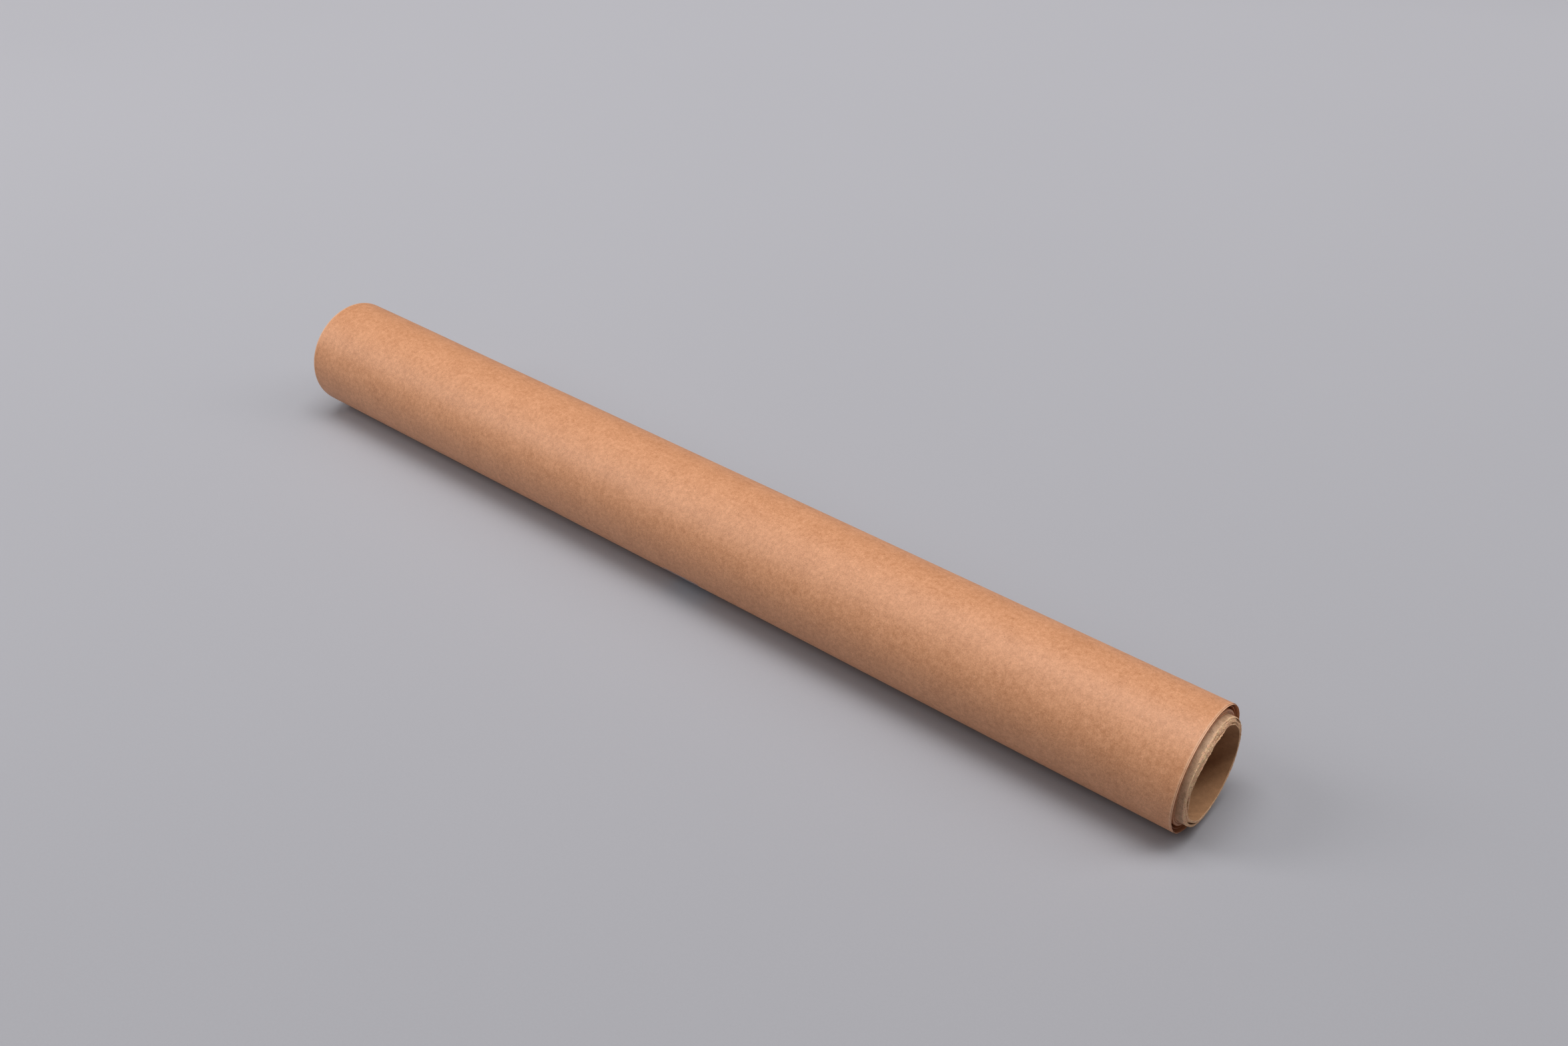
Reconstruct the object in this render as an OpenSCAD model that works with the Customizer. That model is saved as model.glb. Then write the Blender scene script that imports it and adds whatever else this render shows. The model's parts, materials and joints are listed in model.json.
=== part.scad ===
// A short roll of backdrop paper, wound on a spiral-wound paperboard core and closed with clear tape.
//
// The roll lies along X with its axis level. The origin is on the axis of the core's bore, at the
// middle of the paper's width, and +Z is up. Angles are taken round the axis from +Y towards +Z.
// The paper is one web. It is drawn as three solids, because it lies in three ways: wound tight on
// the core, as one loose turn that crosses the slack, and as a few turns held round it by the tape.
// The tight turns can turn in the slack, and the core can slip out of them.

/* [Paper] */
// Width of the paper along the roll
paper_w = 457; // [150:1:1400]
// Thickness of one sheet, which is the step at the paper's free edge
paper_t = 0.1; // [0.06:0.01:0.3]
// Turns in the pack that is wound tight on the core
pack_turns = 12; // [3:1:400]
// Radial room that one turn of the pack takes, with the air wound in
turn_pitch = 0.12; // [0.1:0.005:0.4]
// Radial room between the pack and the outer turns, where one loose turn lies
slack = 2; // [1.2:0.1:8]
// Radial thickness of the loose turn with its waves
loose_t = 0.3; // [0.2:0.05:0.5]
// Direction in which the loose turn is pushed out against the outer turns
loose_angle = 135; // [0:1:359]
// Radial thickness of the outer turns, lying together
outer_t = 0.5; // [0.3:0.1:3]
// How far the pack stands back from the outer turns at the +X end
pack_set_back = 0.3; // [0:0.1:5]
// Angle of the paper's free edge round the roll
tail_angle = 237; // [190:1:350]

/* [Core] */
// Diameter of the core's bore
core_bore_d = 37; // [12:0.1:110]
// Thickness of the inner and the outer liner
liner_t = 0.36; // [0.2:0.02:1]
// Thickness of one board ply between the liners
ply_t = 0.56; // [0.3:0.02:2]
// How far the core stands out of the paper at each end
core_out = 3.5; // [0:0.1:20]

/* [Closing tape] */
// Width of the tape, along the roll
tape_w = 19; // [6:0.5:75]
// Length of the tape, round the roll
tape_len = 22; // [8:0.5:60]
// Thickness of the tape where it lies on the free edge
tape_t = 0.06; // [0.03:0.01:0.2]
// Place of the tape's middle along the roll
tape_x = 2; // [-60:0.5:60]

/* [Fits] */
// Radial clearance between the core and the pack wound on it
core_fit = 0.05; // [0.01:0.01:0.1]
// Radial clearance that the loose turn keeps from the pack
pack_gap = 0.3; // [0.2:0.05:0.5]
// Radial clearance that the loose turn keeps from the outer turns where it lies against them
lie_gap = 0.05; // [0.02:0.01:0.1]

/* [Hidden] */
$fn = 120;

board_plies = 3;
bore_r = core_bore_d / 2;
plies_r = bore_r + liner_t;
outer_liner_r = plies_r + board_plies * ply_t;
core_r = outer_liner_r + liner_t;
core_len = paper_w + 2 * core_out;

pack_in_r = core_r + core_fit;
pack_out_r = pack_in_r + pack_turns * turn_pitch;
outer_in_r = pack_out_r + slack;
roll_r = outer_in_r + outer_t + paper_t;

// The loose turn is round, but off the axis: it lies against the outer turns on one side and comes
// nearest to the pack on the other.
loose_far_r = outer_in_r - lie_gap;
loose_near_r = pack_out_r + pack_gap;
loose_shift = (loose_far_r - loose_near_r - loose_t) / 2;
loose_out_r = loose_far_r - loose_shift;

// The outermost turn ends in a step one sheet high, on its outside and on its inside. Two half rings
// make it: the half that runs up to the free edge and the half that starts under it have centres a
// quarter of a step to either side of the axis, and radii half a step apart, so they join smoothly on
// the far side. pack_gap is kept where the inside comes closest to the pack.
centre_shift = paper_t / 4;
upper_half_r = roll_r - centre_shift;
under_half_r = upper_half_r - paper_t / 2;

// Colours
kraft = [0.78, 0.57, 0.42];
board = [0.66, 0.60, 0.53];
liner_grey = [0.80, 0.77, 0.72];
film = [0.85, 0.90, 0.96, 0.45];

// Turns a flat drawing of the roll's end, X and Y on paper, into the YZ plane and draws it out along
// X for a length, with its middle at mid_x.
module along_roll(length, mid_x = 0) {
    translate([mid_x - length / 2, 0, 0])
        rotate([90, 0, 90])
            linear_extrude(height = length)
                children();
}

// A ring with round walls of its own.
module ring(inner_r, outer_r) {
    difference() {
        circle(r = outer_r);
        circle(r = inner_r);
    }
}

// The half plane on the side of the free edge's radius that lies before it (side = -1) or after it
// (side = 1), going round from +Y to +Z.
module half_plane(side) {
    reach = 2 * roll_r;
    rotate(tail_angle)
        translate([-reach, side > 0 ? 0 : -reach])
            square([2 * reach, reach]);
}

// Half a turn of paper with walls at the two radii, its centre moved along the free edge's radius.
module half_turn(side, shift, inner_r, outer_r) {
    intersection() {
        rotate(tail_angle)
            translate([shift, 0])
                ring(inner_r, outer_r);
        half_plane(side);
    }
}

// One tube of the core between two radii.
module core_tube(inner_r, outer_r) {
    along_roll(core_len)
        ring(inner_r, outer_r);
}

module core_inner_liner() {
    color(board)
        core_tube(bore_r, plies_r);
}

module core_ply(number) {
    color(board)
        core_tube(plies_r + (number - 1) * ply_t, plies_r + number * ply_t);
}

module core_outer_liner() {
    color(liner_grey)
        core_tube(outer_liner_r, core_r);
}

module inner_turns() {
    color(kraft)
        along_roll(paper_w, -pack_set_back)
            ring(pack_in_r, pack_out_r);
}

module loose_turn() {
    color(kraft)
        along_roll(paper_w)
            translate(loose_shift * [cos(loose_angle), sin(loose_angle)])
                ring(loose_out_r - loose_t, loose_out_r);
}

module outer_turns() {
    color(kraft)
        along_roll(paper_w) {
            half_turn(-1, centre_shift, upper_half_r - outer_t, upper_half_r);
            half_turn(1, -centre_shift, under_half_r - outer_t, under_half_r);
        }
}

// The wedge between two angles round the axis, less than half a turn.
module wedge(from_angle, to_angle) {
    reach = 2 * roll_r;
    polygon([
        [0, 0],
        reach * [cos(from_angle), sin(from_angle)],
        reach * [cos(to_angle), sin(to_angle)]
    ]);
}

// The film lies on the end of the outermost turn, bridges its step and lies down on the turn below.
module closing_tape() {
    half_span = tape_len / roll_r * 90 / PI;
    color(film)
        along_roll(tape_w, tape_x) {
            intersection() {
                rotate(tail_angle)
                    translate([centre_shift, 0])
                        ring(upper_half_r, upper_half_r + tape_t);
                wedge(tail_angle - half_span, tail_angle);
            }
            intersection() {
                rotate(tail_angle)
                    difference() {
                        translate([centre_shift, 0])
                            circle(r = upper_half_r + tape_t);
                        translate([-centre_shift, 0])
                            circle(r = under_half_r);
                    }
                wedge(tail_angle, tail_angle + half_span);
            }
        }
}

core_inner_liner();
core_ply(1);  // core_ply_1
core_ply(2);  // core_ply_2
core_ply(3);  // core_ply_3
core_outer_liner();
inner_turns();
loose_turn();
outer_turns();
closing_tape();
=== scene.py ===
"""The looks of a short roll of kraft backdrop paper on a paperboard core.

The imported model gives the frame, the sizes and the bodies. Every CAD solid is replaced by a surface
worked out here: the paper web as one spiral sheet in three stretches, the core as five tubes of board
with sawn and frayed ends, and the clear tape that closes the roll. Lengths are in metres.
"""

import json
import logging
from dataclasses import dataclass
from enum import Enum
from typing import Any, Mapping, Optional, Sequence, Union

import bpy
import numpy as np
from mathutils import Matrix, Vector


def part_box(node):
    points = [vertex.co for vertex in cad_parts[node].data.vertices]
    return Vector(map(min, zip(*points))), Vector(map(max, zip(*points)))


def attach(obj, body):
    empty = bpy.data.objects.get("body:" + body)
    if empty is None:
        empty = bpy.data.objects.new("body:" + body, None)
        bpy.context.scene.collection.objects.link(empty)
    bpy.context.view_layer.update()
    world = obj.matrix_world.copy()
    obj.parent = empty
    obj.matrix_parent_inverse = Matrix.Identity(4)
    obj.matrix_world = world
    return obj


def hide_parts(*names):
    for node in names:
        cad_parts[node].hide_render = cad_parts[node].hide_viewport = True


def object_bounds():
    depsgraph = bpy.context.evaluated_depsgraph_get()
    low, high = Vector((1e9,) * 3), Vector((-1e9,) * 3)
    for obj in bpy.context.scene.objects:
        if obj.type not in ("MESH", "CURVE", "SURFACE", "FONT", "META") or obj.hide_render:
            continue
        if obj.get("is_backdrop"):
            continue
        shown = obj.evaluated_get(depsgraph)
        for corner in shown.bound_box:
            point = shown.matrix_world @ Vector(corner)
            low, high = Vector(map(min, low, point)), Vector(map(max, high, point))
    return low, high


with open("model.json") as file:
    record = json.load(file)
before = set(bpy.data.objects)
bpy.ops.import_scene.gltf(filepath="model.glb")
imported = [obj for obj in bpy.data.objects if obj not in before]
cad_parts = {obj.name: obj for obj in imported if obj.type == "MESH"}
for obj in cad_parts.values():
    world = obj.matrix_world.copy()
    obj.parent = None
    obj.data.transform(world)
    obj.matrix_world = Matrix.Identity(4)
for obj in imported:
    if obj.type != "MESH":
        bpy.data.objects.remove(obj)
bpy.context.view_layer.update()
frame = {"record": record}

LOG = logging.getLogger("paper_roll")
MM = 0.001
TURN = 2 * np.pi
# The Mix node's sockets for colours: its share, its two colours and its result.
MIX_INPUTS = (0, 6, 7)
MIX_OUTPUT = 2

Array = np.ndarray
Colour = tuple[float, float, float]


class Body(str, Enum):
    """The CAD bodies that pieces ride on."""

    OUTER = "outer_turns"
    PACK = "inner_turns"
    CORE = "core"


class Slot(str, Enum):
    """The record's material slots."""

    KRAFT = "kraft_paper"
    BOARD = "core_board"
    LINER = "core_liner"
    TAPE = "clear_tape"


class End(int, Enum):
    """The two ends of the roll, by the sign of their X."""

    NEAR = 1
    FAR = -1


# ---- shapes


def smooth(t: Array) -> Array:
    """Eases values from 0 to 1: three t squared less two t cubed, with t held between 0 and 1."""
    t = np.clip(t, 0.0, 1.0)
    return t * t * (3 - 2 * t)


def bump(angle: Array, centre: float, spread: float) -> Array:
    """A bell over angles in radians: 1 at its centre, a third at its spread, both in degrees."""
    away = np.angle(np.exp(1j * (angle - np.radians(centre))))
    return np.exp(-((away / np.radians(spread)) ** 2))


@dataclass(frozen=True)
class Ripple:
    """A smooth random field on a tube: a sum of cosines of n times the angle plus k times x.

    Attributes:
        seed: The seed of its wave numbers, weights and phases.
        waves: How many cosines are summed.
        around: The most whole waves round the tube, so that the field closes on itself.
        along: The shortest wave along the tube, or None for a field that doesn't change along it.
    """

    seed: int
    waves: int = 24
    around: int = 6
    along: Optional[float] = None

    def __call__(self, angle: Array, x: Union[Array, float] = 0.0) -> Array:
        """The field where the angle and x are, with a spread of about one either way.

        Args:
            angle: Angles round the axis, in radians.
            x: Places along the axis, in metres.

        Returns:
            The field's values.
        """
        rng = np.random.default_rng(self.seed)
        counts = rng.integers(1, self.around + 1, self.waves)
        weights = rng.uniform(0.4, 1.0, self.waves) / np.sqrt(counts)
        phases = rng.uniform(0, TURN, self.waves)
        pitches = np.zeros(self.waves)
        if self.along:
            pitches = TURN / self.along * rng.uniform(-1, 1, self.waves)
        total = 0.0
        for count, weight, phase, pitch in zip(counts, weights, phases, pitches):
            total = total + weight * np.cos(count * angle + pitch * x + phase)
        return total / np.sqrt((weights**2).sum())


def on_roll(x: Array, radius: Array, angle: Array) -> Array:
    """Points at places along X, distances from the axis and angles from +Y towards +Z, in radians."""
    x, radius, angle = np.broadcast_arrays(x, radius, angle)
    return np.stack([x, radius * np.cos(angle), radius * np.sin(angle)], axis=-1)


def ring_faces(paths: int, ring: int, closed: bool) -> Array:
    """The quads of a skin of closed rings set along a path, with flat caps where the path is open.

    Args:
        paths: How many rings there are.
        ring: How many points a ring has; the second half runs back over the first.
        closed: True where the last ring joins the first.

    Returns:
        Four vertex numbers for each quad.
    """
    i = np.arange(paths if closed else paths - 1)[:, None]
    j = np.arange(ring)[None, :]
    after, beside = (i + 1) % paths, (j + 1) % ring
    corners = (i * ring + j, after * ring + j, after * ring + beside, i * ring + beside)
    sides = np.stack(corners, axis=-1).reshape(-1, 4)
    if closed:
        return sides
    k = np.arange(ring // 2 - 1)
    start = np.stack([k, k + 1, ring - 2 - k, ring - 1 - k], axis=-1)
    finish = start[:, ::-1] + (paths - 1) * ring
    return np.concatenate([sides, start, finish])


def make_piece(name: str, points: Array, faces: Array, edge_angle: float = 35.0) -> bpy.types.Object:
    """A smooth-shaded mesh object at the origin, with creases kept sharp.

    Args:
        name: The object's name.
        points: The vertices' places.
        faces: The vertex numbers of each face, all with as many corners.
        edge_angle: Faces that meet at more than this many degrees keep a sharp edge.

    Returns:
        The object, linked into the scene.
    """
    mesh = bpy.data.meshes.new(name)
    corners = faces.shape[1]
    mesh.vertices.add(points.size // 3)
    mesh.vertices.foreach_set("co", points.astype(np.float32).ravel())
    mesh.loops.add(faces.size)
    mesh.loops.foreach_set("vertex_index", faces.astype(np.int32).ravel())
    mesh.polygons.add(len(faces))
    mesh.polygons.foreach_set("loop_start", np.arange(0, faces.size, corners, dtype=np.int32))
    mesh.polygons.foreach_set("use_smooth", np.ones(len(faces), dtype=bool))
    mesh.update(calc_edges=True)
    mesh.validate()
    mesh.set_sharp_from_angle(angle=np.radians(edge_angle))
    piece = bpy.data.objects.new(name, mesh)
    bpy.context.scene.collection.objects.link(piece)
    return piece


def dress(
    piece: bpy.types.Object, finish: bpy.types.Material, body: Body, nodes: Sequence[str] = ()
) -> bpy.types.Object:
    """Gives a piece its finish, its body and the CAD nodes that it stands for.

    Args:
        piece: The object.
        finish: Its material.
        body: The CAD body that it rides on.
        nodes: The CAD nodes that it replaces.

    Returns:
        The same object.
    """
    piece.data.materials.append(finish)
    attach(piece, body.value)
    if nodes:
        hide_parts(*nodes)
    return piece


# ---- shaders


class Socket:
    """A value in a node tree, on which Python's operators add Math nodes."""

    def __init__(self, tree: "Tree", output: bpy.types.NodeSocket) -> None:
        """Wraps an output socket of a tree."""
        self.tree = tree
        self.output = output

    def maths(self, operation: str, *values: Any) -> "Socket":
        """The result of a Math node with that operation and those inputs."""
        return self.tree.add("ShaderNodeMath", {"operation": operation}, dict(enumerate(values)))

    def __add__(self, other: Any) -> "Socket":
        """This plus other."""
        return self.maths("ADD", self, other)

    __radd__ = __add__

    def __sub__(self, other: Any) -> "Socket":
        """This less other."""
        return self.maths("SUBTRACT", self, other)

    def __rsub__(self, other: Any) -> "Socket":
        """Other less this."""
        return self.maths("SUBTRACT", other, self)

    def __mul__(self, other: Any) -> "Socket":
        """This times other."""
        return self.maths("MULTIPLY", self, other)

    __rmul__ = __mul__

    def __truediv__(self, other: Any) -> "Socket":
        """This over other."""
        return self.maths("DIVIDE", self, other)

    def fraction(self) -> "Socket":
        """What is left over a whole number."""
        return self.maths("FRACT", self)

    def size(self) -> "Socket":
        """The value without its sign."""
        return self.maths("ABSOLUTE", self)

    def band(self, low: float, high: float) -> "Socket":
        """Rises from 0 at low to 1 at high, or falls where low is above high.

        Args:
            low: Where it is 0.
            high: Where it is 1.

        Returns:
            The eased value.
        """
        settings = {"interpolation_type": "SMOOTHSTEP"}
        if low < high:
            values = {"Value": self, "From Min": low, "From Max": high}
        else:
            values = {"Value": self, "From Min": high, "From Max": low, "To Min": 1.0, "To Max": 0.0}
        return self.tree.add("ShaderNodeMapRange", settings, values)


class Tree:
    """A material's node tree and the ways of adding to it."""

    def __init__(self, name: str) -> None:
        """Makes an empty material of that name."""
        self.material = bpy.data.materials.new(name)
        self.material.use_nodes = True
        self.nodes = self.material.node_tree.nodes
        self.links = self.material.node_tree.links
        self.nodes.clear()
        self.place = self.add("ShaderNodeTexCoord", {}, {}, "Object")

    def node(
        self, kind: str, settings: Mapping[str, Any], values: Mapping[Union[str, int], Any]
    ) -> bpy.types.Node:
        """Makes a node, sets it up and fills its inputs.

        Args:
            kind: The node's type.
            settings: Its properties.
            values: What each input socket holds: a number, a colour or a Socket to link.

        Returns:
            The node.
        """
        node = self.nodes.new(kind)
        for key, setting in settings.items():
            setattr(node, key, setting)
        for key, value in values.items():
            if isinstance(value, Socket):
                self.links.new(value.output, node.inputs[key])
            else:
                node.inputs[key].default_value = value
        return node

    def add(
        self, kind: str, settings: Mapping[str, Any], values: Mapping[Union[str, int], Any],
        output: Union[str, int] = 0,
    ) -> Socket:
        """Makes a node in the same way and returns the output asked for."""
        return Socket(self, self.node(kind, settings, values).outputs[output])

    def axes(self) -> list[Socket]:
        """The object's X, Y and Z coordinates."""
        split = self.node("ShaderNodeSeparateXYZ", {}, {0: self.place})
        return [Socket(self, output) for output in split.outputs]

    def stretched(self, scale: Colour) -> Socket:
        """Object coordinates times a scale on each axis."""
        return self.add("ShaderNodeMapping", {}, {"Vector": self.place, "Scale": scale})

    def grain(
        self, size: float, detail: float = 2.0, rough: float = 0.55, at: Optional[Socket] = None
    ) -> Socket:
        """Fractal noise from 0 to 1.

        Args:
            size: The size of its largest patches, in metres, or in units of the coordinates given.
            detail: How many finer layers it has.
            rough: How strong they are.
            at: Other coordinates than the object's.

        Returns:
            The noise.
        """
        values = {"Vector": at or self.place, "Scale": 1 / size, "Detail": detail, "Roughness": rough}
        return self.add("ShaderNodeTexNoise", {}, values, "Fac")

    def blend(self, share: Any, first: Any, second: Any) -> Socket:
        """Mixes two colours.

        Args:
            share: How much of the second shows.
            first: A colour, or a Socket that holds one.
            second: Another.

        Returns:
            The colour.
        """
        settings = {"data_type": "RGBA", "blend_type": "MIX", "clamp_result": True}
        colours = [c if isinstance(c, Socket) else (*c, 1.0) for c in (first, second)]
        values = dict(zip(MIX_INPUTS, (share, *colours)))
        return self.add("ShaderNodeMix", settings, values, MIX_OUTPUT)

    def relief(self, height: Any, depth: float, strength: float = 1.0) -> Socket:
        """The normal of a height from 0 to 1, of that depth in metres, at that strength."""
        values = {"Height": height, "Distance": depth, "Strength": strength}
        return self.add("ShaderNodeBump", {}, values, "Normal")

    def surface(self, values: Mapping[str, Any]) -> Socket:
        """A Principled shader with those sockets filled."""
        return self.add("ShaderNodeBsdfPrincipled", {}, values)

    def done(self, shader: Socket) -> bpy.types.Material:
        """Ends the tree with that shader and returns its material."""
        self.node("ShaderNodeOutputMaterial", {}, {"Surface": shader})
        return self.material


@dataclass(frozen=True)
class KraftFinish:
    """Brown kraft paper, smooth on the machine side: cloudy, flecked, with a dull shine, with painted
    shade on the inner turns and a painted highlight on the outer turns near the cut edges.

    Attributes:
        pale: The colour of its light clouds.
        deep: The colour of its dark ones.
        dark_fleck: The colour of bark flecks.
        pale_fleck_and_highlight: The colour of bleached fibres, and of the lighter line along the outer
            turns' cut edges, which is scuffed fibres and a painted highlight.
        inner_painted_shade: Painted shade: the darker, deeper colour of the inner turns near the cut
            edges, standing in for the shade of the turns round them.
        glow: How much light one sheet lets through.
        half_width: Half the web's width, for the line of scuff and painted highlight along its cut
            edges and for the painted shade of the inner turns beside them.
        outer_from: The radius under which a turn counts as an inner one.
        outer_to: The radius over which it counts as an outer one.
        scuff_and_highlight_width: How wide the line of scuff and painted highlight is.
        painted_shade_depth: How far in from the cut edges the inner turns carry the painted shade.
    """

    pale: Colour = (0.835, 0.408, 0.216)
    deep: Colour = (0.540, 0.226, 0.096)
    dark_fleck: Colour = (0.33, 0.13, 0.055)
    pale_fleck_and_highlight: Colour = (0.92, 0.58, 0.37)
    inner_painted_shade: Colour = (0.42, 0.105, 0.010)
    glow: float = 0.06
    half_width: float = 228.5 * MM
    outer_from: float = 24.50 * MM
    outer_to: float = 24.65 * MM
    scuff_and_highlight_width: float = 0.7 * MM
    painted_shade_depth: float = 5 * MM

    def make(self) -> bpy.types.Material:
        """The material."""
        tree = Tree("kraft paper")
        clouds = tree.grain(11 * MM, 3.0, 0.6)
        floc = tree.grain(1.9 * MM, 3.0, 0.65)
        fine = tree.grain(0.5 * MM, 3.0, 0.68)
        streaks = tree.grain(1.0, 2.0, 0.5, tree.stretched((900.0, 45.0, 45.0)))
        tone = 0.20 * clouds + 0.50 * floc + 0.66 * fine + 0.08 * streaks
        colour = tree.blend((tone - 0.53) / 0.38, self.deep, self.pale)
        bark = tree.grain(0.62 * MM, 1.5, 0.6).band(0.68, 0.73) * 0.50
        fibres = tree.grain(0.70 * MM, 1.5, 0.6, tree.stretched((1.0, 1.3, 1.3)))
        colour = tree.blend(bark, colour, self.dark_fleck)
        colour = tree.blend(fibres.band(0.70, 0.75) * 0.50, colour, self.pale_fleck_and_highlight)
        x, y, z = tree.axes()
        outside = (y * y + z * z).maths("SQRT").band(self.outer_from, self.outer_to)
        # Scuffed fibres and a painted highlight: the outer turns' cut edges are lightened.
        edge = x.size().band(self.half_width - self.scuff_and_highlight_width, self.half_width - 0.15 * MM)
        colour = tree.blend(edge * outside * (0.1 + 0.7 * floc), colour, self.pale_fleck_and_highlight)
        # Painted shade: the inner turns are darkened near the cut edges, where the turns round them
        # shade them.
        margin = x.size().band(self.half_width - self.painted_shade_depth, self.half_width - 1 * MM)
        colour = tree.blend(margin * (1 - outside), colour, self.inner_painted_shade)
        normal = tree.relief(0.6 * floc + 0.4 * fine, 0.05 * MM, 0.55)
        shine = 0.42 + 0.16 * floc + 0.06 * clouds
        values = {"Base Color": colour, "Roughness": shine, "Normal": normal, "Specular IOR Level": 0.6}
        paper = tree.surface(values)
        through = tree.add("ShaderNodeBsdfTranslucent", {}, {"Color": colour})
        return tree.done(tree.add("ShaderNodeMixShader", {}, {0: self.glow, 1: paper, 2: through}))


@dataclass(frozen=True)
class BoardFinish:
    """Grey-brown paperboard of recycled fibres, rough where it is sawn.

    Attributes:
        name: The material's name.
        pale: The colour of clean fibres.
        deep: The colour between them.
        seam: The colour in the strip's helical seam.
        seam_start: The seam's place along the tube where the angle is zero.
        seam_pitch: How far the seam runs along the tube in one turn: a strip some 75 mm wide.
        roughness: The surface's roughness.
        worn: How strongly the colour varies over long streaks along the strip.
        mottle: The size of its patches.
        speck: The colour of the dirt in the recycled stock.
    """

    name: str
    pale: Colour
    deep: Colour
    seam: Colour
    seam_start: float
    seam_pitch: float = 98.3 * MM
    roughness: float = 0.8
    worn: float = 0.35
    mottle: float = 2.0 * MM
    speck: Colour = (0.05, 0.035, 0.025)

    def make(self) -> bpy.types.Material:
        """The material."""
        tree = Tree(self.name)
        fibre = tree.grain(0.28 * MM, 3.0, 0.7)
        mottle = tree.grain(self.mottle, 3.0, 0.6)
        x, y, z = tree.axes()
        turn = z.maths("ARCTAN2", z, y) / TURN
        along = (x - self.seam_start) / self.seam_pitch - turn
        strip = ((along + 100.0).fraction() - 0.5).size()
        seam_from, seam_to = 0.45 * MM / self.seam_pitch, 0.15 * MM / self.seam_pitch
        gap = strip.band(0.5 - seam_from, 0.5 - seam_to)
        on_strip = tree.add("ShaderNodeCombineXYZ", {}, {0: along * 26.0, 1: turn * 0.8})
        streaks = tree.grain(1.0, 2.0, 0.5, on_strip)
        tone = (1 - self.worn) * (0.55 * fibre + 0.45 * mottle) + self.worn * streaks
        colour = tree.blend(tone.band(0.32, 0.68), self.deep, self.pale)
        specks = tree.grain(0.7 * MM, 1.0, 0.5).band(0.78, 0.80) * 0.7
        colour = tree.blend(specks, colour, self.speck)
        colour = tree.blend(gap * 0.7, colour, self.seam)
        height = (0.5 * fibre + 0.5 * mottle) * (1 - gap)
        normal = tree.relief(height, 0.10 * MM, 0.6)
        values = {"Base Color": colour, "Roughness": self.roughness + 0.1 * mottle, "Normal": normal}
        return tree.done(tree.surface(values))


@dataclass(frozen=True)
class CutFinish:
    """The sawn and torn edge of the board plies: dusty grey-tan fibres, with painted shade in their
    pores.

    Attributes:
        pale: The colour of raised fibres.
        deep: The colour between them.
        pink: The colour of some of the plies' layers.
        painted_pit_shade: Painted shade: the dark colour put in the pores, where shade falls.
    """

    pale: Colour = (1.0, 0.73, 0.45)
    deep: Colour = (0.72, 0.42, 0.225)
    pink: Colour = (1.0, 0.61, 0.40)
    painted_pit_shade: Colour = (0.22, 0.12, 0.06)

    def make(self) -> bpy.types.Material:
        """The material."""
        tree = Tree("sawn board")
        fibre = tree.grain(0.16 * MM, 3.0, 0.75)
        tufts = tree.grain(0.7 * MM, 2.0, 0.6)
        tone = 0.55 * fibre + 0.45 * tufts
        hue = tree.grain(1.4 * MM, 1.0, 0.5).band(0.42, 0.58)
        colour = tree.blend(tone.band(0.34, 0.62), self.deep, tree.blend(hue, self.pale, self.pink))
        # Painted shade: pores made of noise are darkened as if shaded.
        pit_shade_mask = tree.grain(0.7 * MM, 2.0, 0.6).band(0.58, 0.70) * 0.7
        colour = tree.blend(pit_shade_mask, colour, self.painted_pit_shade)
        normal = tree.relief(tone, 0.16 * MM, 0.6)
        return tree.done(tree.surface({"Base Color": colour, "Roughness": 0.95, "Normal": normal}))


@dataclass(frozen=True)
class FilmFinish:
    """Clear tape: a thin glossy film with a faint blue-grey cast, hazy where air lies under it.

    Attributes:
        tint: The film's colour.
        body: How much of the film itself shows.
    """

    tint: Colour = (0.62, 0.70, 0.80)
    body: float = 0.30

    def make(self) -> bpy.types.Material:
        """The material."""
        tree = Tree("clear tape")
        haze = tree.grain(2.2 * MM, 2.0, 0.55).band(0.45, 0.7)
        ripple = tree.grain(3.5 * MM, 1.0, 0.5)
        normal = tree.relief(ripple, 0.12 * MM, 0.5)
        values = {
            "Base Color": (*self.tint, 1.0),
            "Roughness": 0.10 + 0.12 * haze,
            "Normal": normal,
            "Coat Weight": 0.6,
            "Alpha": self.body + 0.18 * haze,
        }
        return tree.done(tree.surface(values))


@dataclass(frozen=True)
class FloorFinish:
    """The plain pale sheet that the roll lies on, painted lighter towards the back to stand in for the
    light falling there.

    Attributes:
        front: Its colour by the viewer's feet, the dim end of the painted light.
        back: Its colour well behind the roll, painted lighter to stand in for the light on a sheet that
            rises there.
        heading: The direction from front to back, turned from +Y towards +X, in degrees.
        painted_light_start: How far in front of the roll the painted light starts to rise from the
            front colour.
        run: How far the painted light takes to go over to the back colour.
    """

    front: Colour = (0.330, 0.330, 0.358)
    back: Colour = (0.550, 0.548, 0.590)
    heading: float = -31.0
    painted_light_start: float = 0.44
    run: float = 1.2

    def make(self) -> bpy.types.Material:
        """The material."""
        tree = Tree("floor sheet")
        turn = np.radians(self.heading)
        ahead = (float(np.sin(turn)), float(np.cos(turn)), 0.0)
        product = {"operation": "DOT_PRODUCT"}
        depth = tree.add("ShaderNodeVectorMath", product, {0: tree.place, 1: ahead}, "Value")
        cloud = tree.grain(0.30, 2.0, 0.5)
        fibre = tree.grain(0.8 * MM, 2.0, 0.6)
        # Painted light: the floor's colour brightens from front to back, with a little noise.
        share = (depth + self.painted_light_start) / self.run + 0.08 * (cloud - 0.5) + 0.10 * (fibre - 0.5)
        colour = tree.blend(share, self.front, self.back)
        return tree.done(tree.surface({"Base Color": colour, "Roughness": 0.65}))


# ---- the paper web


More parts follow.
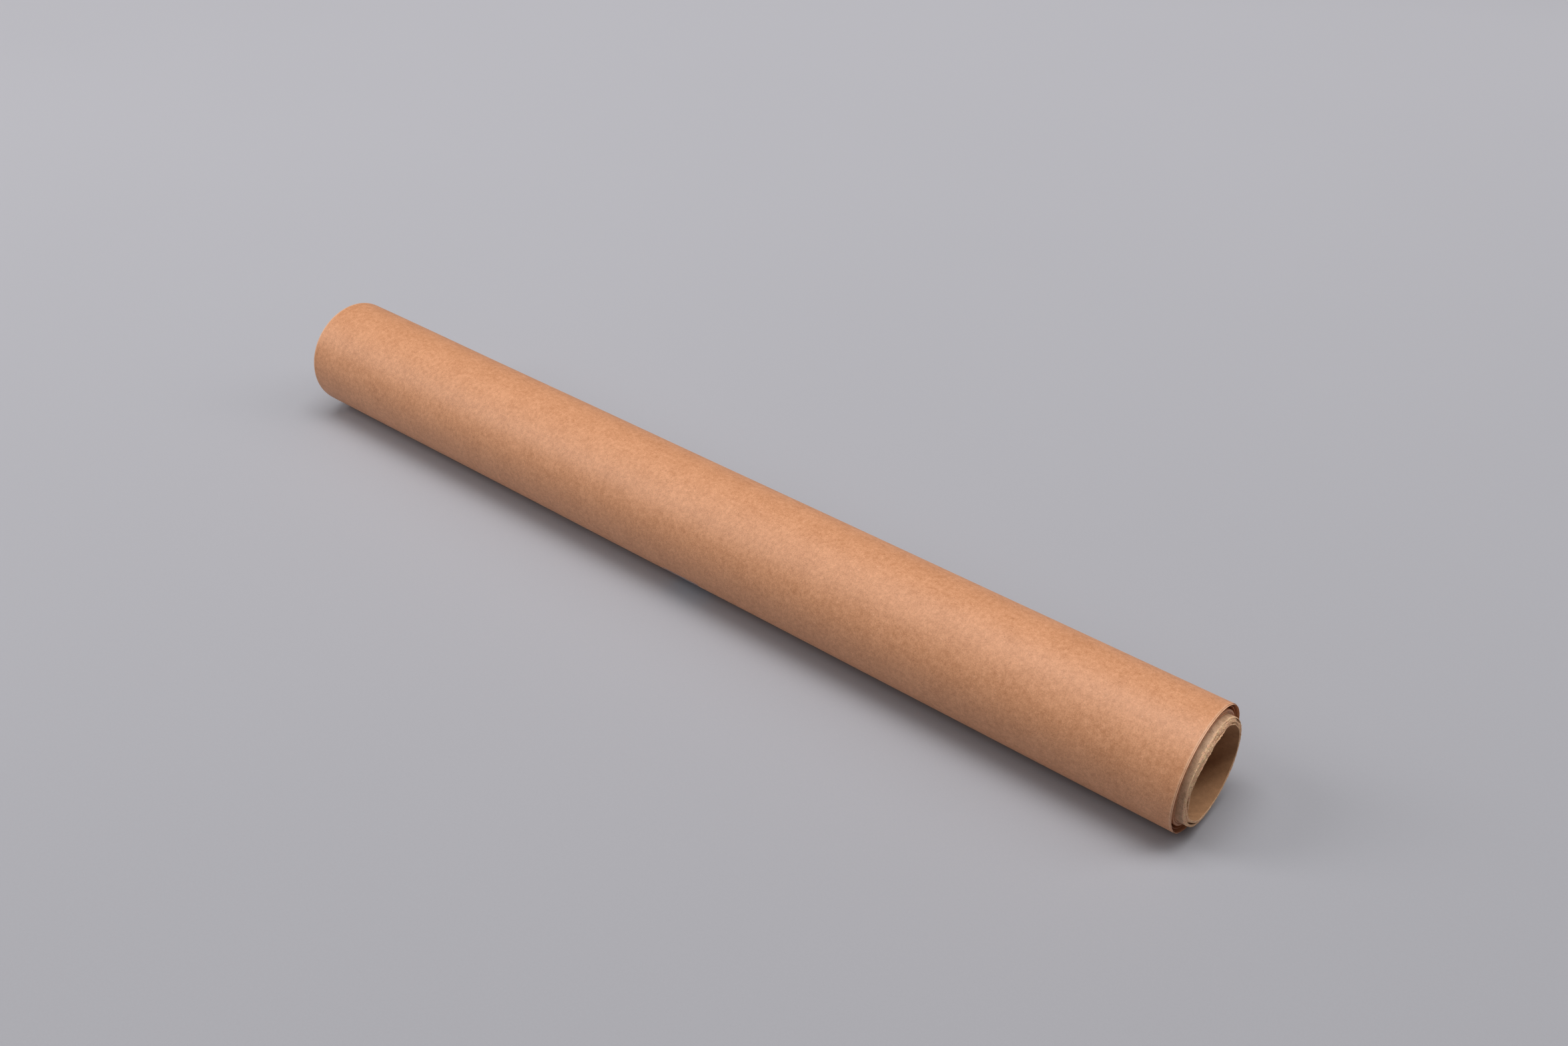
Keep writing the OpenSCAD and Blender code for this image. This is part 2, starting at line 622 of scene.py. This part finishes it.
@dataclass
class PaperWeb:
    """The paper web: one sheet that winds outwards from the core as the angle grows.

    Place along the web is counted in turns from its inner end. It starts at loose_angle, makes
    pack_turns tight turns, crosses the slack in one loose turn, and ends at tail_angle after the
    outer turns.

    Attributes:
        finish: The paper's material.
        caliper: The sheet's thickness.
        pack_turns: Turns wound tight on the core.
        loose_angle: Where the loose turn leaves the pack and reaches the outer turns, in degrees.
        tail_angle: Where the free edge is, in degrees.
        around: Points round one turn.
        tuck: How far the loose turn starts before the pack ends, in turns.
        pack_pitch: How far the sheet climbs in one tight turn.
        oval: Half of the tight turns' oval swelling.
        outer_pitch: How far the sheet climbs in one outer turn.
        outer_drop: How much further in the first outer turn lies.
        leave: How far the loose turn's start is lifted off the pack.
        wave: How deep the loose sheet's waves are.
        tail_lift: How far the free edge stands off at the roll's ends.
        sag: The waves along and round the loose sheet.
        wander: How the web wanders along the roll as it is wound.
    """

    finish: bpy.types.Material
    caliper: float = 0.095 * MM
    pack_turns: int = 12
    loose_angle: float = 135.0
    tail_angle: float = 237.0
    around: int = 144
    tuck: float = 0.04
    pack_pitch: float = 0.108 * MM
    oval: float = 0.06 * MM
    outer_pitch: float = 0.12 * MM
    outer_drop: float = 0.27 * MM
    leave: float = 0.12 * MM
    wave: float = 0.045 * MM
    tail_lift: float = 0.45 * MM
    sag: Ripple = Ripple(seed=11, waves=30, around=5, along=0.09)
    wander: Ripple = Ripple(seed=5, waves=16, around=3)

    def __post_init__(self) -> None:
        """Reads the sizes off the CAD solids."""
        low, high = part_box("outer_turns")
        self.width = high.x - low.x
        self.outer_radius = max(high.z, -low.y)
        self.core_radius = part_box("core_outer_liner")[1].z
        self.pack_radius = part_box("inner_turns")[1].z
        low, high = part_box("loose_turn")
        self.loose_radius = (high.z - low.z) / 2 - 0.15 * MM
        self.loose_shift = float(np.hypot(low.y + high.y, low.z + high.z) / 2)
        self.outer_start = self.pack_turns + 1.0
        self.end = self.outer_start + (2 + (self.tail_angle - self.loose_angle) / 360)

    def angle(self, turns: Array) -> Array:
        """The angle round the axis at a place along the web."""
        return np.radians(self.loose_angle) + TURN * turns

    def middle(self, turns: Array) -> Array:
        """The radius of the sheet's middle at a place along the web.

        On the pack it grows evenly, with an oval swelling past the third turn. On the loose turn it
        goes over to a circle off the axis and from that to the outer turns. On those it falls back
        from the tail by little more than a sheet a turn, and faster further in.

        Args:
            turns: Places along the web.

        Returns:
            Radii.
        """
        angle = self.angle(turns)
        first = self.core_radius + 0.05 * MM + self.caliper
        swell = self.oval * (1 + np.cos(2 * angle - np.radians(90)))
        pack = first + self.pack_pitch * turns + swell * smooth((turns - 2.4) / 0.8)
        off_axis = self.loose_shift * np.cos(angle - np.radians(self.loose_angle))
        loose = self.loose_radius + off_axis
        before = self.end - turns
        tail = self.outer_radius - self.caliper / 2
        outer = tail - self.outer_pitch * before - self.outer_drop * smooth((before - 0.9) / 1.35)
        since = turns - self.pack_turns
        lifted = self.pack_radius + self.leave
        leaving = lifted + (loose - lifted) * smooth((since + self.tuck) / 0.27)
        crossing = leaving + (outer - leaving) * smooth((since - 0.70) / 0.30)
        return np.where(turns > self.outer_start, outer, np.where(since > -self.tuck, crossing, pack))

    def shift(self, turns: Array) -> Array:
        """How far the web lies towards +X at a place along it: listed for each turn, with a wander.

        Args:
            turns: Places along the web.

        Returns:
            Shifts.
        """
        last = self.end
        by_hand = (
            (0, -0.05), (1, -0.15), (3, -0.45), (7, -0.25), (self.pack_turns, -0.4),
            (last - 2.2, -0.65), (last - 1.8, -0.15), (last - 1.6, 0.36), (last - 1.02, 0.40),
            (last - 0.7, 0.0), (last, 0.0),
        )
        places, shifts = zip(*by_hand)
        wander = 0.05 * MM * self.wander(0.7 * TURN * turns)
        return np.interp(turns, places, shifts) * MM + wander

    def lift(self, turns: Array, x: Array) -> Array:
        """How far the free edge stands off: it grows towards the edge and away from the tape.

        Args:
            turns: Places along the web.
            x: Places across it.

        Returns:
            Heights.
        """
        near_edge = np.clip(1 - (self.end - turns) / 0.07, 0, 1)
        off_tape = smooth((np.abs(x) - 0.02) / (0.45 * self.width))
        return self.tail_lift * near_edge**2 * off_tape

    def face(self, turns: Array, x: Array, side: float) -> Array:
        """The radius of one of the sheet's two faces.

        Args:
            turns: Places along the web.
            x: Places across it.
            side: 1 for the outer face, -1 for the inner one.

        Returns:
            Radii.
        """
        waves = smooth((turns - self.pack_turns - 0.1) / 0.5)
        sag = self.wave * self.sag(self.angle(turns), x) * waves
        return self.middle(turns) + side * self.caliper / 2 + sag + self.lift(turns, x)

    def stretch(self, name: str, start: float, finish: float, rows: Array) -> bpy.types.Object:
        """One stretch of the web as a thin closed sheet: its rings run out along +X on the outer
        face and back on the inner face, and follow the spiral.

        Args:
            name: The piece's name.
            start: Where it starts, in turns.
            finish: Where it ends.
            rows: The rows' places across the web.

        Returns:
            The piece.
        """
        count = int(np.ceil((finish - start) * self.around)) + 1
        turns = np.linspace(start, finish, count)[:, None]
        across = rows[None, :]
        x, angle = across + self.shift(turns), self.angle(turns)
        outer, inner = (on_roll(x, self.face(turns, across, side), angle) for side in (1.0, -1.0))
        rings = np.concatenate([outer, inner[:, ::-1]], axis=1)
        faces = ring_faces(count, rings.shape[1], closed=False)
        return make_piece(name, rings.reshape(-1, 3), faces)

    def rows(self, step: float) -> Array:
        """Rows across the web: close together at the cut edges, then a step apart.

        Args:
            step: How far apart they are inside.

        Returns:
            Their places.
        """
        margin = np.array([0.0, 0.4, 1.2, 3.0, 7.0]) * MM
        half = self.width / 2
        inside = np.linspace(-half + margin[-1], half - margin[-1], int(self.width / step))
        return np.concatenate([-half + margin[:-1], inside, (half - margin[:-1])[::-1]])

    def build(self) -> list[bpy.types.Object]:
        """Builds the web's three stretches and returns them."""
        lifts_off = self.pack_turns - self.tuck
        pack = self.stretch("tight_turns", 0.0, float(self.pack_turns), self.rows(0.2))
        loose = self.stretch("loose_turn_sheet", lifts_off, self.outer_start, self.rows(0.03))
        outer = self.stretch("outer_turns_sheet", self.outer_start, self.end, self.rows(0.006))
        return [
            dress(pack, self.finish, Body.PACK, ["inner_turns"]),
            dress(loose, self.finish, Body.OUTER, ["loose_turn"]),
            dress(outer, self.finish, Body.OUTER, ["outer_turns"]),
        ]

    def length(self) -> float:
        """The web's length, from its inner end to its free edge."""
        turns = np.linspace(0, self.end, 4000)
        return float(self.middle(turns).mean() * TURN * self.end)


# ---- the tape


@dataclass
class ClosingTape:
    """The strip of clear tape across the free edge, with toothed ends from the dispenser's blade.

    Attributes:
        finish: The film's material.
        web: The web that it holds.
        thickness: The film's thickness.
        half_length: Half of the strip's length round the roll.
        tooth: The pitch of the blade's teeth.
        tooth_depth: Their depth.
        glue: The thickness of the glue under the film.
    """

    finish: bpy.types.Material
    web: PaperWeb
    thickness: float = 0.05 * MM
    half_length: float = 11 * MM
    tooth: float = 1.25 * MM
    tooth_depth: float = 0.45 * MM
    glue: float = 0.004 * MM

    def under(self, angle: Array, x: Array) -> Array:
        """The radius of the paper below the film, eased over the free edge's step.

        Args:
            angle: Angles, in radians.
            x: Places along the roll.

        Returns:
            Radii.
        """
        tail = self.web.angle(self.web.end)
        past = (angle - tail) / TURN
        upper = self.web.face(self.web.end + np.minimum(past, 0.0), x, 1.0)
        lower = self.web.face(self.web.end - 1 + np.maximum(past, 0.0), x, 1.0)
        return upper + (lower - upper) * smooth(past / 0.012)

    def build(self) -> bpy.types.Object:
        """The film: rings across its width that follow the roll, with saw-toothed ends.

        Returns:
            The piece.
        """
        low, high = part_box("closing_tape")
        tail = float(self.web.angle(self.web.end))
        points = int((high.x - low.x) / self.tooth) * 4 + 1
        across = np.linspace(low.x, high.x, points)[None, :]
        teeth = np.abs(((across - low.x) / self.tooth) % 1.0 - 0.5) * 2
        reach = (self.half_length - teeth * self.tooth_depth) / self.web.outer_radius
        share = np.linspace(-1, 1, 61)[:, None]
        angle = tail + share * reach
        rest = self.under(angle, across) + self.glue
        top = on_roll(across, rest + self.thickness, angle)
        below = on_roll(across, rest, angle)
        rings = np.concatenate([top, below[:, ::-1]], axis=1)
        faces = ring_faces(len(share), rings.shape[1], closed=False)
        piece = make_piece("tape_film", rings.reshape(-1, 3), faces)
        return dress(piece, self.finish, Body.OUTER, ["closing_tape"])


# ---- the core


@dataclass(frozen=True)
class Tear:
    """A place at a sawn end where the plies have parted.

    Attributes:
        end: Which end it is at.
        angle: Its middle, in degrees.
        spread: Its half width, in degrees.
        opening: How far it has opened.
        above: The number of the ply outside the gap; those inside it are pushed in.
        depth: How far the ply inside the gap is torn back.
    """

    end: End
    angle: float
    spread: float
    opening: float
    above: int
    depth: float


TEARS = (
    Tear(End.NEAR, 40, 9, 0.34 * MM, 4, 0.45 * MM),
    Tear(End.NEAR, 56, 8, 0.30 * MM, 2, 0.55 * MM),
    Tear(End.NEAR, 98, 10, 0.16 * MM, 2, 0.30 * MM),
    Tear(End.NEAR, 180, 10, 0.36 * MM, 2, 0.80 * MM),
    Tear(End.NEAR, 229, 15, 0.36 * MM, 3, 0.90 * MM),
    Tear(End.NEAR, 318, 12, 0.22 * MM, 3, 0.40 * MM),
    Tear(End.FAR, 25, 12, 0.26 * MM, 3, 0.50 * MM),
    Tear(End.FAR, 112, 9, 0.32 * MM, 2, 0.60 * MM),
    Tear(End.FAR, 205, 14, 0.22 * MM, 4, 0.35 * MM),
    Tear(End.FAR, 290, 10, 0.30 * MM, 2, 0.55 * MM),
)
# How far each cut end leans along X, for each metre in Y and in Z.
CUT_SLANT = {End.NEAR: (0.0179, -0.0336), End.FAR: (-0.010, 0.014)}


@dataclass
class Core:
    """The paperboard core: five tubes, one for each ply, from the bore liner out.

    Attributes:
        bore: The finish of the bore's liner.
        board: The finish of the plies between the liners.
        liner: The finish of the outer liner.
        sawn: The finish of the cut ends.
        around: Points round the core.
        rim_rows: Rows of points across a cut rim.
        burr: How far the near end's burr stands into the bore.
        push_reach: How far in from an end a push has fallen to a third.
        nodes: The plies' CAD nodes, from the bore out.
        names: The pieces' names, in the same order.
    """

    bore: bpy.types.Material
    board: bpy.types.Material
    liner: bpy.types.Material
    sawn: bpy.types.Material
    around: int = 640
    rim_rows: int = 4
    burr: float = 0.48 * MM
    push_reach: float = 1.4 * MM
    nodes: tuple[str, ...] = (
        "core_inner_liner", "core_ply_1", "core_ply_2", "core_ply_3", "core_outer_liner",
    )
    names: tuple[str, ...] = (
        "bore_liner", "board_ply_1", "board_ply_2", "board_ply_3", "outer_liner_tube",
    )

    def __post_init__(self) -> None:
        """Reads the radii and the length off the CAD solids."""
        self.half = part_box(self.nodes[0])[1].x
        outers = [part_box(node)[1].z for node in self.nodes]
        bore = next(m for m in frame["record"]["mounts"] if m["name"] == "core_bore")
        self.radii = [bore["dims"]["r_mm"] * MM, *outers]

    def cut(self, end: End, radius: Array, angle: Array) -> Array:
        """Where the cut end lies along X: a plane that leans a little in Y and in Z, and that is worn
        back towards the outer edge. The near end is worn most along its top, and stands out most where
        the saw came through.

        Args:
            end: Which end.
            radius: Distances from the axis.
            angle: Angles round it.

        Returns:
            Places along X.
        """
        in_y, in_z = CUT_SLANT[end]
        plane = end * self.half + in_y * radius * np.cos(angle) + in_z * radius * np.sin(angle)
        wear = 0.55
        if end == End.NEAR:
            plane = plane + MM * (0.9 * bump(angle, 116, 36) + 0.45 * bump(angle, 238, 22))
            wear = wear + 0.65 * bump(angle, 92, 42)
        across = (radius - self.radii[0]) / (self.radii[-1] - self.radii[0])
        return plane - end * wear * MM * across**1.5

    def pushed(self, ply: int, end: End, angle: Array, in_from_end: Array) -> Array:
        """How far a ply is pushed in near an end: each tear pushes the plies inside it, and the
        burr is added at the near end. Both die away inwards.

        Args:
            ply: The ply's number.
            end: Which end.
            angle: Angles round the axis.
            in_from_end: Distances from the cut.

        Returns:
            Distances towards the axis.
        """
        push = np.zeros_like(angle)
        for tear in TEARS:
            if tear.end == end and ply < tear.above:
                push = push + tear.opening * bump(angle, tear.angle, tear.spread)
        if end == End.NEAR:
            ragged = 0.8 + 0.22 * Ripple(seed=70, waves=50, around=90)(angle)
            push = push + self.burr * bump(angle, 122, 62) * ragged * (1 - 0.22 * ply)
        return push * np.exp(-in_from_end / self.push_reach)

    def torn(self, ply: int, end: End, angle: Array) -> Array:
        """How far a ply's end is torn back from the cut: fine teeth, coarse steps and the tears.

        Args:
            ply: The ply's number.
            end: Which end.
            angle: Angles round the axis.

        Returns:
            Distances.
        """
        fine = Ripple(seed=200 + 10 * ply + int(end), waves=70, around=260)(angle)
        coarse = Ripple(seed=300 + 10 * ply + int(end), waves=20, around=14)(angle)
        rough = 0.5 + 0.6 * bump(angle, 95, 45) + 0.5 * bump(angle, 230, 20)
        back = rough * (0.10 * MM * fine + 0.16 * MM * np.tanh(2.2 * coarse) + 0.22 * MM)
        for tear in TEARS:
            if tear.end == end and ply == tear.above - 1:
                back = back + tear.depth * bump(angle, tear.angle, 0.8 * tear.spread)
        if ply == len(self.nodes) - 1:
            back = 0.4 * back
        return back

    def tube(self, ply: int) -> Array:
        """The rings of one ply. Each ring is a lengthwise section: out along the outer face, in over
        the near end, back along the inner face and out over the far end.

        Args:
            ply: The ply's number, from 0 at the bore.

        Returns:
            The rings, one for each angle.
        """
        angle = np.linspace(0, TURN, self.around, endpoint=False)[:, None]
        inner, outer = self.radii[ply], self.radii[ply + 1]
        margin = np.array([0.0, 0.12, 0.3, 0.6, 1.0, 1.6, 2.6, 5.0, 11.0])[None, :] * MM
        count = 16 if ply in (0, len(self.nodes) - 1) else 3
        long_rows = np.linspace(-1, 1, count)[None, :] * (self.half - 14 * MM)

        def face(radius: float) -> Array:
            """The ply's face at a radius, from the far end to the near end.

            Returns:
                Its points, a row for each angle.
            """
            sides = {}
            for end in End:
                x = self.cut(end, radius, angle) - end * (margin + self.torn(ply, end, angle))
                lean = self.pushed(ply, end, angle + 0 * margin, margin)
                worn = 0.0
                if radius == outer:
                    bare = Ripple(seed=400 + 10 * ply + int(end), waves=50, around=120)(angle)
                    worn = 0.07 * MM * np.abs(bare) * np.exp(-margin / (0.25 * MM))
                sides[end] = on_roll(x, radius - lean - worn, angle)
            middle = on_roll(long_rows, radius, angle)
            return np.concatenate([sides[End.FAR], middle, sides[End.NEAR][:, ::-1]], axis=1)

        def rim(start: Array, finish: Array, end: End) -> Array:
            """The cut face between two edges, with its fibres raised and sunk.

            Args:
                start: The points of the edge that it starts from.
                finish: Those of the other edge.
                end: Which end.

            Returns:
                The points between the edges.
            """
            share = np.linspace(0, 1, self.rim_rows + 2)[None, 1:-1]
            flat = start[:, None] + (finish - start)[:, None] * share[..., None]
            for row in range(flat.shape[1]):
                seed = 500 + 40 * ply + 10 * row + int(end)
                rise = 0.07 + 0.06 * bump(angle[:, 0], 95, 45)
                flat[:, row, 0] += end * MM * rise * Ripple(seed, waves=80, around=280)(angle[:, 0])
            return flat

        out, back = face(outer), face(inner)[:, ::-1]
        near = rim(out[:, -1], back[:, 0], End.NEAR)
        far = rim(back[:, -1], out[:, 0], End.FAR)
        return np.concatenate([out, near, back, far], axis=1)

    def build(self) -> list[bpy.types.Object]:
        """Builds the five plies and the fibres at their ends.

        Returns:
            The pieces.
        """
        made = []
        finishes = [self.bore, self.board, self.board, self.board, self.liner]
        for ply, name in enumerate(self.names):
            rings = self.tube(ply)
            faces = ring_faces(self.around, rings.shape[1], closed=True)
            piece = make_piece(name, rings.reshape(-1, 3), faces, edge_angle=50.0)
            dress(piece, finishes[ply], Body.CORE, [self.nodes[ply]])
            piece.data.materials.append(self.sawn)
            self.paint_ends(piece, rings.shape[1])
            made.append(piece)
        made.append(self.fibres())
        return made

    def paint_ends(self, piece: bpy.types.Object, ring: int) -> None:
        """Gives the sawn finish to the two rims, and to a frayed strip beside them whose width is a
        random number of rows at each angle.

        Args:
            piece: A ply.
            ring: How many points its rings have.
        """
        rim = self.rim_rows
        long_side = (ring - 2 * rim) // 2
        column = np.arange(len(piece.data.polygons)) % ring
        angle = TURN * (np.arange(len(piece.data.polygons)) // ring) / self.around
        frayed = np.clip(np.round(3.2 + 1.0 * Ripple(seed=81, waves=60, around=90)(angle)), 2, 6)
        near = (column >= long_side - frayed) & (column <= long_side + rim)
        far = (column >= ring - rim - 1) | (column < frayed - 1)
        piece.data.polygons.foreach_set("material_index", (near | far).astype(np.int32))

    def fibres(self) -> bpy.types.Object:
        """Loose fibres on both sawn ends: thin three-sided tapers along parabolas.

        Each runs from its root by its length times its direction, and falls to one side with the
        square of the way along.

        Returns:
            The piece.
        """
        rng = np.random.default_rng(17)
        count, rings, sides = 1100, 5, 3
        end = np.where(np.arange(count) % 2 == 0, 1, -1)
        angle = rng.uniform(0, TURN, count)
        angle[::4] = np.radians(rng.normal(100, 32, len(angle[::4])))
        radius = rng.uniform(self.radii[0] + 0.1 * MM, self.radii[-1] - 0.25 * MM, count)
        slant = np.where(end[:, None] > 0, CUT_SLANT[End.NEAR], CUT_SLANT[End.FAR])
        lean = slant[:, 0] * radius * np.cos(angle) + slant[:, 1] * radius * np.sin(angle)
        root = on_roll(end * self.half + lean - end * 0.2 * MM, radius, angle)
        reach = rng.uniform(0.25, 0.8, count) * MM
        out = np.stack([end * rng.uniform(0.1, 0.8, count), *rng.normal(0, 0.6, (2, count))], axis=-1)
        out /= np.linalg.norm(out, axis=1, keepdims=True)
        fall = rng.normal(0, 0.55, (count, 3))
        share = np.linspace(0, 1, rings)[None, :, None]
        path = root[:, None] + reach[:, None, None] * (share * out[:, None] + share**2 * fall[:, None])
        thick = rng.uniform(0.012, 0.028, count)[:, None, None] * MM * (1 - 0.8 * share)
        side = np.cross(out, [0.3, 0.5, 0.8])
        side /= np.linalg.norm(side, axis=1, keepdims=True)
        other = np.cross(out, side)
        around = TURN * np.arange(sides) / sides
        wheel = np.cos(around)[:, None] * side[:, None] + np.sin(around)[:, None] * other[:, None]
        points = path[:, :, None] + thick[..., None] * wheel[:, None]
        away = np.hypot(points[..., 1], points[..., 2])
        points[..., 1:] *= np.minimum(1.0, (self.radii[-1] - 0.02 * MM) / away)[..., None]
        # These rings run the other way round their path, so the faces are turned to look out.
        one = np.roll(ring_faces(rings, sides, closed=False)[:, ::-1], 1, axis=1)
        first = (np.arange(count) * rings * sides)[:, None, None]
        faces = (one[None] + first).reshape(-1, 4)
        piece = make_piece("cut_fibres", points.reshape(-1, 3), faces)
        return dress(piece, self.sawn, Body.CORE)


# ---- the studio


@dataclass(frozen=True)
class SoftLamp:
    """A soft rectangular lamp that points at the roll's middle.

    Attributes:
        name: Its name.
        up: How high above the roll's middle it hangs.
        right: How far to the viewer's right.
        front: How far towards the viewer.
        size: Its two sides, the level one first.
        power: Its power, in watts.
    """

    name: str
    up: float
    right: float
    front: float
    size: tuple[float, float]
    power: float


@dataclass
class Studio:
    """The camera, the soft lights and the floor.

    Attributes:
        eye: The camera's place in the row frame.
        heading: The direction it looks in, turned from +Y towards +X, in degrees.
        dip: How far it looks down, in degrees.
        field: The sensor's width over the focal length.
        floor_size: The side of the floor.
        lamps: The lamps.
        lamp_tint: Their colour.
        air_tint: The colour of the faint light from all round.
        air_strength: Its strength.
    """

    eye: tuple[float, float, float] = (0.36105, -0.40245, 0.40245)
    heading: float = -38.53
    dip: float = 36.65
    field: float = 2350 / 2400
    floor_size: float = 80.0
    lamps: tuple[SoftLamp, ...] = (
        SoftLamp("overhead softbox", 3.2, 0.0, 0.0, (2.84, 1.3), 81.0),
        SoftLamp("left softbox", 1.2, -1.5, 0.05, (1.1, 0.6), 12.5),
        SoftLamp("right fill", 1.8, 1.8, 0.0, (1.6, 0.8), 10.5),
    )
    lamp_tint: Colour = (1.0, 0.99, 0.98)
    air_tint: Colour = (0.93, 0.95, 1.0)
    air_strength: float = 0.078

    def camera(self) -> None:
        """Sets up the camera."""
        data = bpy.data.cameras.new("camera")
        data.sensor_width = 36.0
        data.lens = data.sensor_width / self.field
        data.clip_start = 0.01
        camera = bpy.data.objects.new("camera", data)
        bpy.context.scene.collection.objects.link(camera)
        turn, down = np.radians(self.heading), np.radians(self.dip)
        look = Vector((np.sin(turn) * np.cos(down), np.cos(turn) * np.cos(down), -np.sin(down)))
        camera.location = self.eye
        camera.rotation_euler = look.to_track_quat("-Z", "Y").to_euler()
        bpy.context.scene.camera = camera

    def hang(self, lamp: SoftLamp) -> None:
        """Hangs a lamp, with its long side level and across the camera's view.

        Args:
            lamp: Which.
        """
        data = bpy.data.lights.new(lamp.name, "AREA")
        data.shape = "RECTANGLE"
        data.size, data.size_y = lamp.size
        data.energy = lamp.power
        data.color = self.lamp_tint
        piece = bpy.data.objects.new(lamp.name, data)
        bpy.context.scene.collection.objects.link(piece)
        turn = np.radians(self.heading)
        right = Vector((np.cos(turn), -np.sin(turn), 0.0))
        front = Vector((-np.sin(turn), -np.cos(turn), 0.0))
        place = lamp.up * Vector((0.0, 0.0, 1.0)) + lamp.right * right + lamp.front * front
        back = place.normalized()
        up = back.cross(right).normalized()
        axes = Matrix((up.cross(back), up, back)).transposed().to_4x4()
        piece.matrix_world = Matrix.Translation(place) @ axes

    def light(self) -> None:
        """Hangs the lamps, sets the soft light from all round and keeps the colours as lit."""
        for lamp in self.lamps:
            self.hang(lamp)
        world = bpy.data.worlds.new("studio")
        world.use_nodes = True
        air = world.node_tree.nodes["Background"]
        air.inputs["Color"].default_value = (*self.air_tint, 1.0)
        air.inputs["Strength"].default_value = self.air_strength
        bpy.context.scene.world = world
        bpy.context.scene.view_settings.view_transform = "Standard"

    def floor(self, level: float, finish: bpy.types.Material) -> None:
        """Lays the floor, which is staging and no piece of the roll.

        Args:
            level: Its height.
            finish: Its material.
        """
        half = self.floor_size / 2
        corners = ((-half, -half), (half, -half), (half, half), (-half, half))
        points = np.array([(*corner, level) for corner in corners])
        sheet = make_piece("floor", points, np.array([[0, 1, 2, 3]]))
        sheet.data.materials.append(finish)
        sheet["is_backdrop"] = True


# ---- main


def core_finishes() -> tuple[bpy.types.Material, bpy.types.Material, bpy.types.Material]:
    """Makes the finishes of the bore liner, the board plies and the outer liner."""
    bore = BoardFinish(
        name="bore liner",
        pale=(0.64, 0.345, 0.175),
        deep=(0.44, 0.225, 0.105),
        seam=(0.15, 0.07, 0.035),
        seam_start=21 * MM,
    )
    board = BoardFinish(
        name="board ply",
        pale=(0.56, 0.39, 0.25),
        deep=(0.34, 0.22, 0.13),
        seam=(0.12, 0.08, 0.05),
        seam_start=0.0,
    )
    liner = BoardFinish(
        name="outer liner",
        pale=(0.82, 0.535, 0.345),
        deep=(0.42, 0.245, 0.135),
        seam=(0.34, 0.21, 0.13),
        seam_start=52 * MM,
        roughness=0.55,
        worn=0.2,
        mottle=1.8 * MM,
    )
    return bore.make(), board.make(), liner.make()


def main() -> None:
    """Builds the roll and its studio."""
    logging.basicConfig(level=logging.INFO, format="%(name)s: %(message)s")
    studio = Studio()
    studio.camera()
    web = PaperWeb(KraftFinish().make())
    core = Core(*core_finishes(), CutFinish().make())
    pieces = web.build() + [ClosingTape(FilmFinish().make(), web).build()] + core.build()
    LOG.info("web length %.3f m, width %.3f m", web.length(), web.width)
    low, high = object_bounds()
    studio.floor(low.z, FloorFinish().make())
    studio.light()


if __name__ == "__main__":
    main()
